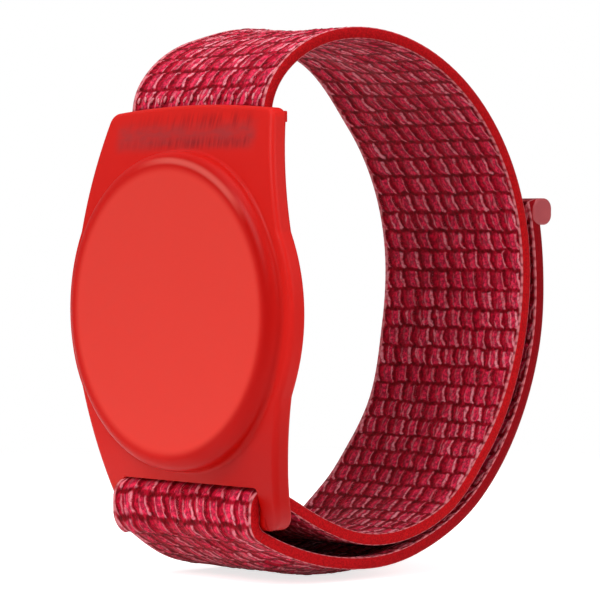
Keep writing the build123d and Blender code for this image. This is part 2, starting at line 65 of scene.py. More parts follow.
def srgb(red: int, green: int, blue: int) -> tuple[float, float, float, float]:
    """Turn 8-bit colour values into the linear values that sockets take.

    Args:
        red: red from 0 to 255.
        green: green from 0 to 255.
        blue: blue from 0 to 255.

    Returns:
        Linear red, green, blue and an alpha of 1.
    """
    def linear(value: int) -> float:
        """One channel made linear."""
        share = value / 255
        return share / 12.92 if share <= 0.04045 else ((share + 0.055) / 1.055) ** 2.4
    return linear(red), linear(green), linear(blue), 1.0


def grey(value: float) -> tuple[float, float, float, float]:
    """A neutral colour from one linear value."""
    return value, value, value, 1.0


class Body(Enum):
    """The moving bodies that the cloth rides on."""

    BAND = "band"
    TAIL = "tail"


# ---------------------------------------------------------------- shader tools
class Graph:
    """A node tree with short calls for adding and joining nodes."""

    def __init__(self, tree: bpy.types.NodeTree) -> None:
        """Keep the tree that nodes are added to."""
        self.tree = tree

    def node(self, kind: str, **settings: object) -> bpy.types.Node:
        """Add a node.

        Args:
            kind: the node's type name.
            **settings: attributes to set on it.

        Returns:
            The new node.
        """
        made = self.tree.nodes.new(kind)
        for name, value in settings.items():
            setattr(made, name, value)
        return made

    def feed(self, socket: Socket, value: object) -> None:
        """Join an output to a socket, or set the socket's own value.

        Args:
            socket: the input to feed.
            value: an output socket or a plain value.
        """
        if isinstance(value, Socket):
            self.tree.links.new(value, socket)
        else:
            socket.default_value = value

    def fed(self, kind: str, inputs: dict, **settings: object) -> bpy.types.NodeOutputs:
        """Add a node and feed its inputs.

        Args:
            kind: the node's type name.
            inputs: outputs or plain values by the input's name or number.
            **settings: attributes to set on it.

        Returns:
            Its outputs.
        """
        made = self.node(kind, **settings)
        for key, value in inputs.items():
            self.feed(made.inputs[key], value)
        return made.outputs

    def math(self, operation: str, *values: object) -> Socket:
        """The result of a Math node."""
        return self.fed("ShaderNodeMath", dict(enumerate(values)), operation=operation)[0]

    def product(self, first: object, *others: object) -> Socket:
        """Multiply values.

        Args:
            first: the first value.
            *others: the values that follow.

        Returns:
            The product.
        """
        for other in others:
            first = self.math("MULTIPLY", first, other)
        return first

    def reach(self, across: object, up: object) -> Socket:
        """The distance of a point from the middle, from its place each way."""
        return self.math("SQRT", self.math("ADD", self.product(across, across), self.product(up, up)))

    def split(self, vector: object) -> bpy.types.NodeOutputs:
        """The X, Y and Z of a vector."""
        return self.fed("ShaderNodeSeparateXYZ", {0: vector})

    def joined(self, *values: object) -> Socket:
        """The vector that up to three values make."""
        return self.fed("ShaderNodeCombineXYZ", dict(enumerate(values)))[0]

    def stretched(self, vector: object, scale: tuple[float, float, float]) -> Socket:
        """Coordinates that are scaled along each axis."""
        return self.fed("ShaderNodeMapping", {"Vector": vector, "Scale": scale}, vector_type="POINT")[0]

    def ramp(self, value: object, low: float, high: float, start: float = 0.0,
             end: float = 1.0) -> Socket:
        """Map a value smoothly, so that low becomes start and high becomes end."""
        inputs = {"Value": value, "From Min": low, "From Max": high, "To Min": start, "To Max": end}
        return self.fed("ShaderNodeMapRange", inputs, interpolation_type="SMOOTHSTEP")["Result"]

    def spot(self, value: object, inner: float, outer: float, top: float = 1.0) -> Socket:
        """Mask the values about zero: top up to inner from it, falling to nothing at outer."""
        return self.ramp(self.math("ABSOLUTE", value), inner, outer, top, 0.0)

    def hump(self, value: object, rise: Point, fall: Point) -> Socket:
        """Mask the values between a rise and a fall, each given by its start and its end."""
        return self.product(self.ramp(value, *rise), self.ramp(value, *fall, 1.0, 0.0))

    def mix(self, share: object, first: object, second: object, blend: str = "MIX") -> Socket:
        """Mix two colours by the share of the second."""
        inputs = {0: share, 6: first, 7: second}
        return self.fed("ShaderNodeMix", inputs, data_type="RGBA", blend_type=blend)[2]

    def noise(self, vector: object, scale: object, detail: float = 2.0, roughness: float = 0.5) -> Socket:
        """A noise texture, about 0.5 on average, read at a vector."""
        inputs = {"Vector": vector, "Scale": scale, "Detail": detail, "Roughness": roughness}
        return self.fed("ShaderNodeTexNoise", inputs)["Fac"]


class Group(Graph):
    """A shared effect: a node group with named inputs and outputs."""

    def __init__(self, name: str, inputs: dict[str, tuple[str, object]], outputs: dict[str, str]) -> None:
        """Make the group's tree and its sockets.

        Args:
            name: the group's name.
            inputs: each input's socket type and default.
            outputs: each output's socket type.
        """
        tree = bpy.data.node_groups.new(name, "ShaderNodeTree")
        super().__init__(tree)
        for label, (kind, default) in inputs.items():
            socket = tree.interface.new_socket(label, in_out="INPUT", socket_type=kind)
            if default is not None:
                socket.default_value = default
        for label, kind in outputs.items():
            tree.interface.new_socket(label, in_out="OUTPUT", socket_type=kind)
        self.given = self.node("NodeGroupInput").outputs
        self.result = self.node("NodeGroupOutput").inputs

    def place(self, graph: Graph, **values: object) -> bpy.types.NodeOutputs:
        """Place the group in a material, its inputs by name with underscores for spaces."""
        inputs = {name.replace("_", " "): value for name, value in values.items()}
        return graph.fed("ShaderNodeGroup", inputs, node_tree=self.tree)


@dataclass(frozen=True)
class Cell:
    """How one woven cell is laid out: its size in millimetres, the rest as shares of it."""

    across: float = 2.32
    along: float = 2.35
    middle: float = 0.36
    lean: float = 0.30
    lean_power: float = 3.0
    drift: float = 0.22
    second: float = 0.45


CELL = Cell()


class Effects:
    """The shared effects, each built once."""

    def __init__(self) -> None:
        """Build every group."""
        self.weave = self._weave()
        self.grain = self._grain()

    @staticmethod
    def _weave() -> Group:
        """Build the woven cells, which repeat across and along the cloth.

        Returns:
            The group: Stroke is the bright yarn with a painted highlight, Body the yarn beside it, Shade
                the
            painted shade in the recess on its other side, Row the painted shade in the recess between rows,
            Cell a value for each cell, and Fibre the twist.
        """
        names = ("Stroke", "Body", "Shade", "Row", "Cell", "Fibre")
        group = Group("woven_cells", {"Cloth": (VECTOR, None), "Across": (FLOAT, CELL.across),
                                      "Along": (FLOAT, CELL.along)}, dict.fromkeys(names, FLOAT))
        cloth = group.given["Cloth"]
        place = group.split(cloth)
        wobble = group.math("SUBTRACT", group.noise(cloth, 0.9, 1.0), 0.5)
        ripple = group.math("SUBTRACT", group.noise(cloth, 0.62, 2.0, 0.7), 0.5)
        column = group.math("MULTIPLY_ADD", wobble, 0.7, place["X"])
        column = group.math("DIVIDE", column, group.given["Across"])
        row = group.math("MULTIPLY_ADD", ripple, 1.1, place["Y"])
        row = group.math("DIVIDE", row, group.given["Along"])
        across, along = group.math("FRACT", column), group.math("FRACT", row)
        whole_row = group.math("FLOOR", row)
        cell = group.joined(group.math("FLOOR", column), whole_row, place["Z"])
        chance = group.fed("ShaderNodeTexWhiteNoise", {"Vector": cell}, noise_dimensions="3D")["Value"]
        # A second value for each cell comes from the first one, stretched and wrapped.
        other = group.math("FRACT", group.product(chance, 7.31))
        of_row = group.fed("ShaderNodeTexWhiteNoise", {"W": whole_row}, noise_dimensions="1D")["Value"]

        lean = group.math("POWER", along, CELL.lean_power)
        middle = group.math("MULTIPLY_ADD", lean, CELL.lean, CELL.middle)
        middle = group.math("MULTIPLY_ADD", group.math("SUBTRACT", chance, 0.5), CELL.drift, middle)
        off = group.math("SUBTRACT", across, middle)
        inside = group.hump(along, (0.06, 0.18), (0.86, 0.97))
        stroke = group.spot(off, 0.03, 0.10)
        aside = group.math("MULTIPLY_ADD", other, 0.14, CELL.second - 0.07)
        wrapped = group.math("FRACT", group.math("ADD", group.math("ADD", off, aside), 0.5))
        beside = group.product(group.spot(group.math("SUBTRACT", wrapped, 0.5), 0.02, 0.10),
                               group.ramp(of_row, 0.3, 0.7, 0.25, 1.0),
                               group.ramp(other, 0.0, 1.0, 0.4, 1.0))
        end = group.math("DIVIDE", group.math("SUBTRACT", along, 0.88), 0.75)
        dot = group.product(group.spot(group.reach(off, end), 0.06, 0.15), group.ramp(other, 0.3, 0.6))
        yarn = group.product(group.math("MAXIMUM", stroke, beside), inside)
        results = {
            "Stroke": group.math("MAXIMUM", yarn, dot),
            "Body": group.product(group.hump(off, (-0.60, -0.46), (-0.16, -0.06)), inside),
            "Shade": group.hump(off, (0.08, 0.14), (0.20, 0.32)),
            "Row": group.math("SUBTRACT", 1.0, inside),
            "Cell": chance,
            "Fibre": group.noise(group.stretched(cloth, (7.0, 2.0, 1.0)), 1.0, 3.0, 0.6)}
        for name, value in results.items():
            group.feed(group.result[name], value)
        return group

    @staticmethod
    def _grain() -> Group:
        """Build a fine even grain for moulded and metal surfaces.

        Returns:
            The group: Fine and Broad are values about 0.5.
        """
        group = Group("surface_grain", {"Place": (VECTOR, None), "Fine Scale": (FLOAT, 3000.0),
                                        "Broad Scale": (FLOAT, 120.0)}, {"Fine": FLOAT, "Broad": FLOAT})
        for output in ("Fine", "Broad"):
            grain = group.noise(group.given["Place"], group.given[f"{output} Scale"], 3.0)
            group.feed(group.result[output], grain)
        return group


class Paint:
    """One material being made: its graph, its Principled shader and its coordinates."""

    def __init__(self, name: str, **sockets: object) -> None:
        """Start the material.

        Args:
            name: the material's name.
            **sockets: plain values for the shader's sockets, with underscores for spaces.
        """
        self.material = bpy.data.materials.new(name)
        self.material.use_nodes = True
        tree = self.material.node_tree
        tree.nodes.clear()
        self.graph = Graph(tree)
        self.shader = self.graph.node("ShaderNodeBsdfPrincipled")
        output = self.graph.node("ShaderNodeOutputMaterial")
        tree.links.new(self.shader.outputs[0], output.inputs["Surface"])
        self.feed(**sockets)
        self.place = self.graph.node("ShaderNodeTexCoord").outputs["Object"]

    def attribute(self, name: str) -> bpy.types.NodeOutputs:
        """The outputs of one of the mesh's attributes."""
        return self.graph.node("ShaderNodeAttribute", attribute_name=name).outputs

    def feed(self, **values: object) -> None:
        """Feed the shader, its sockets by name with underscores for spaces."""
        for label, value in values.items():
            self.graph.feed(self.shader.inputs[label.replace("_", " ")], value)

    def bump(self, height: object, strength: float, distance: float) -> None:
        """Raise the surface by a height, of which 1 means the distance in metres."""
        inputs = {"Strength": strength, "Distance": distance, "Height": height}
        self.feed(Normal=self.graph.fed("ShaderNodeBump", inputs)[0])


# ---------------------------------------------------------------- finishes
@dataclass(frozen=True)
class WeaveFinish:
    """Crimson and pink yarn woven in leaning cells, with a plain red selvedge, painted highlight on the
    yarns and painted shade between them.

    Lengths are in millimetres: seam is where the line of pale thread beside the selvedge starts and
    is full, and dusk is the stretch of cloth over which the selvedge darkens with painted shade.
    """

    name: str
    # The pink yarn, painted lighter as a highlight along the crown of each yarn.
    light: tuple = srgb(255, 160, 174)
    body: tuple = srgb(222, 44, 80)
    ground: tuple = srgb(190, 16, 48)
    # Painted shade, beside each yarn and along the free end's darkened selvedge.
    hollow_shade: tuple = srgb(118, 0, 14)
    # Painted shade in the recesses between the rows.
    groove_shade: tuple = srgb(118, 0, 12)
    selvedge: tuple = srgb(208, 16, 24)
    selvedge_dark: tuple = srgb(160, 6, 14)
    edge_thread: tuple = srgb(238, 140, 146)
    seam: Point = (10.55, 10.75)
    dash_rate: float = 2.7
    dusk: Point = (1000.0, 1001.0)

    def make(self, effects: Effects) -> bpy.types.Material:
        """Build the material.

        Args:
            effects: the shared effects.

        Returns:
            The material.
        """
        paint = Paint(self.name, Roughness=0.6, Sheen_Weight=0.03, Sheen_Roughness=0.4,
                      Specular_IOR_Level=0.06)
        graph = paint.graph
        cloth = paint.attribute("cloth")["Vector"]
        edge = paint.attribute("selvedge")["Fac"]
        place = graph.split(cloth)
        cells = effects.weave.place(graph, Cloth=cloth)

        mottle = graph.ramp(graph.noise(cloth, 2.6, 2.0, 0.6), 0.34, 0.66, 0.55, 1.35)
        fibre = graph.product(graph.ramp(cells["Fibre"], 0.3, 0.7, 0.78, 1.15), mottle)
        color = graph.mix(cells["Body"], self.ground, self.body)
        # Painted shade in the recess on the far side of each yarn.
        color = graph.mix(graph.product(cells["Shade"], 0.8), color, self.hollow_shade)
        gap = graph.ramp(graph.noise(cloth, 0.9, 2.0, 0.7), 0.36, 0.62, 0.35, 0.95)
        # Painted shade in the recess between rows, broken up by noise.
        color = graph.mix(graph.product(cells["Row"], gap), color, self.groove_shade)
        tint = graph.fed("ShaderNodeCombineColor", dict.fromkeys(range(3), fibre))[0]
        color = graph.mix(1.0, color, tint, "MULTIPLY")
        broken = graph.ramp(graph.noise(cloth, 2.1, 2.0, 0.7), 0.34, 0.58, 0.35, 1.0)
        bright = graph.product(graph.ramp(cells["Cell"], 0.0, 1.0, 0.45, 1.0), broken)
        # The pale strokes and dots are pink yarn, painted lighter as a highlight along each crown.
        color = graph.mix(graph.product(cells["Stroke"], bright), color, self.light)

        red = graph.mix(graph.ramp(graph.noise(cloth, 4.5, 3.0, 0.7), 0.3, 0.7), self.selvedge_dark,
                        self.selvedge)
        # Painted shade: the selvedge darkens over the dusk stretch.
        red = graph.mix(graph.ramp(place["Y"], *self.dusk, 0.0, 0.7), red, self.hollow_shade)
        trim = graph.ramp(edge, 0.35, 0.65)
        color = graph.mix(trim, color, red)
        dash = graph.math("ABSOLUTE", graph.math("SINE", graph.product(place["Y"], self.dash_rate)))
        line = graph.product(graph.ramp(graph.math("ABSOLUTE", place["X"]), *self.seam),
                             graph.ramp(edge, 0.3, 0.6, 1.0, 0.0), graph.ramp(dash, 0.2, 0.8, 0.25, 0.9))
        color = graph.mix(line, color, self.edge_thread)

        woven = graph.math("MULTIPLY_ADD", cells["Stroke"], 0.6, graph.product(cells["Fibre"], 0.7))
        height = graph.math("MULTIPLY_ADD", graph.noise(cloth, 5.0, 2.0, 0.6), graph.product(trim, 0.5),
                            graph.product(woven, graph.math("SUBTRACT", 1.0, trim)))
        paint.feed(Base_Color=color)
        paint.bump(height, 0.4, 0.00025)
        return paint.material


@dataclass(frozen=True)
class PodFinish:
    """Frosted red elastomer, paler over the tag and duller over the band's hem, with painted shade and
    highlight.
    """

    name: str = "frosted_red_elastomer"
    base: tuple = srgb(218, 32, 26)
    dome: tuple = srgb(240, 66, 56)
    # deep is painted shade, laid on the plate's lower right and on the dome's shoulder.
    deep: tuple = srgb(186, 6, 2)
    slot: tuple = srgb(176, 52, 54)
    streak: tuple = srgb(128, 18, 26)
    # glint is a painted highlight: a pale arc on the dome's shoulder.
    glint: tuple = srgb(255, 130, 118)
    tag_radius: float = 15.6
    glint_radius: float = 16.45
    hem_window: tuple = (11.6, 17.9, 20.4, 0.9)
    lower_yarns: tuple = (11.0, 17.9, 18.9, 0.5)
    upper_yarns: tuple = (10.6, 20.0, 21.5, 0.7)

    def make(self, effects: Effects) -> bpy.types.Material:
        """Build the material.

        Args:
            effects: the shared effects.

        Returns:
            The material.
        """
        paint = Paint(self.name, Specular_IOR_Level=0.1, Coat_Weight=0.02, Coat_Roughness=0.35,
                      Subsurface_Weight=0.25, Subsurface_Scale=0.003, Subsurface_Radius=(1.0, 0.25, 0.2))
        graph = paint.graph
        place = graph.split(paint.place)
        x, z = (graph.product(place[axis], 1 / MM) for axis in ("X", "Z"))
        radius = graph.reach(x, z)
        past_tag = graph.math("SUBTRACT", radius, self.tag_radius)
        grain = effects.grain.place(graph, Place=paint.place)
        # Painted shade: darker towards the bottom and towards the right.
        low = graph.product(graph.ramp(z, -20.0, 0.0, 1.0, 0.0), graph.ramp(x, -4.0, 9.0))
        # Painted shade in a ring on the dome's shoulder, stronger towards the right.
        shoulder = graph.product(graph.hump(past_tag, (-0.2, 1.0), (1.2, 2.6)),
                                 graph.ramp(x, -8.0, 8.0, 0.35, 0.9))
        corner = graph.product(graph.ramp(x, 11.2, 12.2), graph.ramp(z, -23.0, -20.0, 0.6, 0.0))
        color = self.base
        for share, other in (
                (low, self.deep),
                (graph.ramp(past_tag, -0.6, 0.5, 1.0, 0.0), self.dome),
                (shoulder, self.deep),
                (self._glint(graph, radius, graph.math("ARCTAN2", z, x)), self.glint),
                (self._band_behind(graph, x, z), self.slot),
                (self._streaks(graph, paint, x, z), self.streak),
                (corner, self.slot)):
            color = graph.mix(share, color, other)
        paint.feed(Base_Color=color, Roughness=graph.ramp(grain["Broad"], 0.3, 0.7, 0.36, 0.48))
        paint.bump(grain["Fine"], 0.06, 0.00005)
        return paint.material

    @staticmethod
    def _window(graph: Graph, x: object, z: object, window: tuple) -> Socket:
        """Mask an upright rectangle with soft borders.

        Args:
            graph: the material's graph.
            x: place across, in millimetres.
            z: height, in millimetres.
            window: half its width, its lower and upper edges, and how wide its borders are.

        Returns:
            The mask.
        """
        half, low, high, soft = window
        return graph.product(graph.spot(x, half - soft, half + soft),
                             graph.hump(z, (low - soft, low + soft), (high - soft, high + soft)))

    def _glint(self, graph: Graph, radius: object, angle: object) -> Socket:
        """Mask the pale arc of painted highlight on the shoulder's upper right, by radius in mm and angle
        in radians.
        """
        ring = graph.spot(graph.math("SUBTRACT", radius, self.glint_radius), 0.1, 0.5, 0.4)
        return graph.product(ring, graph.hump(angle, (0.6, 0.95), (1.5, 1.95)))

    def _band_behind(self, graph: Graph, x: object, z: object) -> Socket:
        """Mask the front wall of the top lug, through which the band's hem shows dimly.

        Args:
            graph: the material's graph.
            x: place across, in millimetres.
            z: height, in millimetres.

        Returns:
            The mask.
        """
        blot = graph.joined(graph.product(x, 0.35), 0.0, z)
        patches = graph.ramp(graph.noise(blot, 1.1, 2.0, 0.6), 0.3, 0.7, 0.45, 0.95)
        return graph.product(self._window(graph, x, z, self.hem_window), patches)

    def _streaks(self, graph: Graph, paint: Paint, x: object, z: object) -> Socket:
        """Mask the dark yarns of the hem that show through the front wall.

        Args:
            graph: the material's graph.
            paint: the material being made.
            x: place across, in millimetres.
            z: height, in millimetres.

        Returns:
            The mask.
        """
        upright = graph.stretched(paint.place, (1500.0, 1.0, 160.0))
        yarn = graph.ramp(graph.noise(upright, 1.0, 2.0, 0.6), 0.40, 0.64)
        rows = graph.math("MAXIMUM", self._window(graph, x, z, self.lower_yarns),
                          graph.product(self._window(graph, x, z, self.upper_yarns), 0.75))
        return graph.product(yarn, rows, graph.ramp(x, -9.0, 3.0, 0.25, 1.0), 0.6)


@dataclass(frozen=True)
class HookFinish:
    """Hook tape: a dark woven ground with even rows of small stiff hooks."""

    name: str = "hook_tape"
    ground: tuple = srgb(104, 6, 20)
    tip: tuple = srgb(196, 44, 62)
    pitch: float = 0.0011
    loop_radius: float = 0.024

    def make(self) -> bpy.types.Material:
        """Build the material.

        Returns:
            The material.
        """
        paint = Paint(self.name, Roughness=0.7, Specular_IOR_Level=0.3)
        graph = paint.graph
        place = graph.split(paint.place)
        around = graph.math("ARCTAN2", place["Z"], place["Y"])
        rounds = graph.product(around, self.loop_radius / self.pitch)
        across = graph.math("DIVIDE", place["X"], self.pitch)
        shift = graph.product(graph.math("FLOORED_MODULO", graph.math("FLOOR", rounds), 2.0), 0.5)
        near = [graph.math("SUBTRACT", graph.math("FRACT", value), 0.5)
                for value in (rounds, graph.math("ADD", across, shift))]
        hook = graph.ramp(graph.reach(*near), 0.12, 0.30, 1.0, 0.0)
        paint.feed(Base_Color=graph.mix(hook, self.ground, self.tip))
        paint.bump(hook, 0.8, 0.0002)
        return paint.material


@dataclass(frozen=True)
class PlainFinish:
    """A moulded, cast or rolled surface with a fine grain and slight colour drift."""

    name: str
    color: tuple
    other: tuple
    roughness: float = 0.4
    metallic: float = 0.0
    fine: float = 3000.0
    broad: float = 150.0
    relief: float = 0.08

    def make(self, effects: Effects) -> bpy.types.Material:
        """Build the material.

        Args:
            effects: the shared effects.

        Returns:
            The material.
        """
        paint = Paint(self.name, Metallic=self.metallic)
        graph = paint.graph
        grain = effects.grain.place(graph, Place=paint.place, Fine_Scale=self.fine, Broad_Scale=self.broad)
        smooth, rough = self.roughness * 0.8, self.roughness * 1.2
        paint.feed(Base_Color=graph.mix(graph.ramp(grain["Broad"], 0.3, 0.7), self.color, self.other),
                   Roughness=graph.ramp(grain["Broad"], 0.25, 0.75, smooth, rough))
        paint.bump(grain["Fine"], self.relief, 0.00005)
        return paint.material


# ---------------------------------------------------------------- the band's line
@dataclass(frozen=True)
class Curve:
    """A stretch of an upright ellipse that the cloth follows, in millimetres."""

    center: Point
    reach: Point
    start: float
    end: float
    turned: bool = False
    cloth: float = CLOTH_THICKNESS

    def at(self, share: float, depth: float) -> Vector:
        """A point of the cloth.

        Args:
            share: how far along, from 0 to 1.
            depth: how deep in the cloth, from 0 at its inner side, or at its outer one if turned.

        Returns:
            The point's y and z.
        """
        angle = math.radians(self.start + (self.end - self.start) * share)
        scaled = depth * self.cloth / CLOTH_THICKNESS
        grow = self.cloth - scaled if self.turned else scaled
        return Vector((self.center[0] + (self.reach[0] + grow) * math.cos(angle),
                       self.center[1] + (self.reach[1] + grow) * math.sin(angle)))


@dataclass(frozen=True)
class Run:
    """A straight stretch between two cross-sections of the cloth."""

    first: tuple[Point, Point]
    last: tuple[Point, Point]

    def at(self, share: float, depth: float) -> Vector:
        """A point of the cloth.

        Args:
            share: how far along, from 0 to 1.
            depth: how deep in the cloth.

        Returns:
            The point's y and z.
        """
        wrist = Vector(self.first[0]).lerp(Vector(self.last[0]), share)
        other = Vector(self.first[1]).lerp(Vector(self.last[1]), share)
        return wrist.lerp(other, depth / CLOTH_THICKNESS)


class ClothLine:
    """Several stretches end to end, measured along the middle of the cloth."""

    steps = 64

    def __init__(self, stretches: Sequence[Curve | Run], thickness: float, begin: float = 0.0) -> None:
        """Measure the stretches.

        Args:
            stretches: the stretches in order.
            thickness: the cloth's thickness.
            begin: the length at which the line starts, so that a pattern runs on.
        """
        self.stretches = stretches
        self.begin = begin
        self.marks: list[tuple[float, int, float]] = []
        total = 0.0
        last = None
        for index, stretch in enumerate(stretches):
            for step in range(0 if index == 0 else 1, self.steps + 1):
                point = stretch.at(step / self.steps, thickness / 2)
                total += (point - last).length if last is not None else 0.0
                self.marks.append((total, index, step / self.steps))
                last = point
        self.length = total

    def at(self, distance: float, depth: float) -> Vector:
        """A point of the cloth at a distance along the line.

        Args:
            distance: the distance from the line's start.
            depth: how deep in the cloth.

        Returns:
            The point's y and z.
        """
        after = bisect.bisect_right(self.marks, distance, key=lambda mark: mark[0])
        after = min(max(after, 1), len(self.marks) - 1)
        start, end = self.marks[after - 1], self.marks[after]
        first = 0.0 if end[1] != start[1] else start[2]
        share = 0.0 if end[0] == start[0] else (distance - start[0]) / (end[0] - start[0])
        return self.stretches[end[1]].at(first + (end[2] - first) * min(max(share, 0.0), 1.0), depth)


@dataclass
class BandShape:
    """The band's own sizes, in millimetres, and the two lines that its cloth follows."""

    width: float = 22.0
    thickness: float = CLOTH_THICKNESS
    lug_inner_y: float = -18.9
    lug_outer_y: float = -20.4
    lug_top_z: float = 21.0
    hem_z: float = 19.1
    hem_wall: float = 0.85
    hem_bore: float = 0.45
    hem_start: float = 425.0
    loop_top: Point = (-5.5, 29.9)
    loop_rear: Point = (19.6, 4.0)
    loop_bottom: Point = (-2.5, -24.0)
    sweep: float = 17.0
    bar_top: Point = (-19.65, -21.2)
    bar: Point = (-19.65, -22.5)
    wrap: float = 1.05
    tail_bottom: Point = (-4.5, -27.2)
    layer_gap: float = 0.65
    tail_end_z: float = 12.1

    def heading(self) -> float:
        """Find the slant of the straight run from the sweep to the bar.

        Returns:
            Its heading in degrees.
        """
        across = self.bar_top[0] - self.loop_bottom[0]
        up = self.bar_top[1] - (self.loop_bottom[1] + self.sweep)
        reach = self.sweep + self.thickness + self.wrap
        slant = math.degrees(math.asin(reach / math.hypot(across, up)))
        return math.degrees(math.atan2(up, across)) % 360 - slant

    def tail_radius(self) -> float:
        """Radius of the arc under the loop."""
        across, up = self.bar[0] - self.tail_bottom[0], self.bar[1] - self.tail_bottom[1]
        return (across ** 2 + up ** 2 - self.wrap ** 2) / (2 * (up - self.wrap))

    def split(self) -> float:
        """Angle in degrees at which the wrap round the bar ends and the free end starts."""
        across, up = self.bar[0] - self.tail_bottom[0], self.bar[1] - self.tail_bottom[1]
        return math.degrees(math.atan2(up - self.tail_radius(), across))

    def band_line(self) -> ClothLine:
        """The line from the rolled hem, round the loop and over the bar.

        Returns:
            The line.
        """
        rear_z = self.loop_rear[1]
        heading = self.heading()
        hem = (self.lug_outer_y + self.hem_bore + self.hem_wall, self.hem_z)
        sweep_center = (self.loop_bottom[0], self.loop_bottom[1] + self.sweep)
        sweep = Curve(sweep_center, (self.sweep, self.sweep), 270, heading + 90)
        over = Curve(self.bar_top, (self.wrap, self.wrap), heading - 90, 180, turned=True)
        under = Curve(self.bar, (self.wrap, self.wrap), 180, self.split() % 360, turned=True)
        approach, front = [
            Run(*[(tuple(part.at(share, 0)), tuple(part.at(share, self.thickness)))
                  for part, share in ((first, 1), (last, 0))])
            for first, last in ((sweep, over), (over, under))]
        return ClothLine([
            Curve(hem, (self.hem_bore, self.hem_bore), self.hem_start, 180, cloth=self.hem_wall),
            Run(((self.lug_inner_y, self.hem_z), (self.lug_outer_y, self.hem_z)),
                ((self.lug_inner_y, self.lug_top_z), (self.lug_outer_y, self.lug_top_z))),
            Curve((self.loop_top[0], self.lug_top_z),
                  (self.loop_top[0] - self.lug_inner_y, self.loop_top[1] - self.lug_top_z), 180, 90),
            Curve((self.loop_top[0], rear_z),
                  (self.loop_rear[0] - self.loop_top[0], self.loop_top[1] - rear_z), 90, 0),
            Curve((self.loop_bottom[0], rear_z),
                  (self.loop_rear[0] - self.loop_bottom[0], rear_z - self.loop_bottom[1]), 0, -90),
            sweep, approach, over, front, under], self.thickness)

    def tail_line(self, begin: float) -> ClothLine:
        """The line of the free end.

        Args:
            begin: the length of cloth before it.

        Returns:
            The line.
        """
        radius = self.tail_radius()
        rear_y = self.loop_rear[0] + self.thickness + self.layer_gap
        top_z = self.loop_top[1] + self.thickness + self.layer_gap
        rear_z = self.loop_rear[1]
        end = math.degrees(math.asin((self.tail_end_z - rear_z) / (top_z - rear_z)))
        return ClothLine([
            Curve((self.tail_bottom[0], self.tail_bottom[1] + radius),
                  (radius, radius), self.split(), -90, turned=True),
            Curve((self.tail_bottom[0], rear_z),
                  (rear_y - self.tail_bottom[0], rear_z - self.tail_bottom[1]), -90, 0, turned=True),
            Curve((self.loop_top[0], rear_z),
                  (rear_y - self.loop_top[0], top_z - rear_z), 0, end, turned=True),
        ], self.thickness, begin)


# ---------------------------------------------------------------- mesh tools
def finish_mesh(bm: bmesh.types.BMesh, name: str, finish: bpy.types.Material,
                scale: float = MM) -> bpy.types.Object:
    """Turn a bmesh, in millimetres unless scale says otherwise, into a smooth object in metres.

    Args:
        bm: the bmesh, which is freed.
        name: the object's name.
        finish: its material.
        scale: metres in one of the bmesh's units.

    Returns:
        The object.
    """
    bmesh.ops.scale(bm, vec=(scale, scale, scale), verts=bm.verts)
    for face in bm.faces:
        face.smooth = True
    mesh = bpy.data.meshes.new(name)
    bm.to_mesh(mesh)
    bm.free()
    mesh.materials.append(finish)
    made = bpy.data.objects.new(name, mesh)
    bpy.context.scene.collection.objects.link(made)
    return made


@dataclass(frozen=True)
class Swell:
    """A stretch where hand-pulled cloth leaves its even line, in millimetres.

    Across the cloth it grows from nothing at flat_side to its full size at full_side.
    """

    start: float
    end: float
    flat_side: float
    full_side: float
    outward: float
    sideways: float = 0.0
    fade: float = 9.0

    def share(self, distance: float, across: float) -> float:
        """How much of the swell a point takes.

        Args:
            distance: place along the line.
            across: place across the cloth.

        Returns:
            A share from 0 to 1.
        """
        along = min(1.0, (distance - self.start) / self.fade, (self.end - distance) / self.fade)
        aside = min(1.0, (across - self.flat_side) / (self.full_side - self.flat_side))
        along, aside = max(along, 0.0), max(aside, 0.0)
        return along * along * (3 - 2 * along) * aside * aside * (3 - 2 * aside)


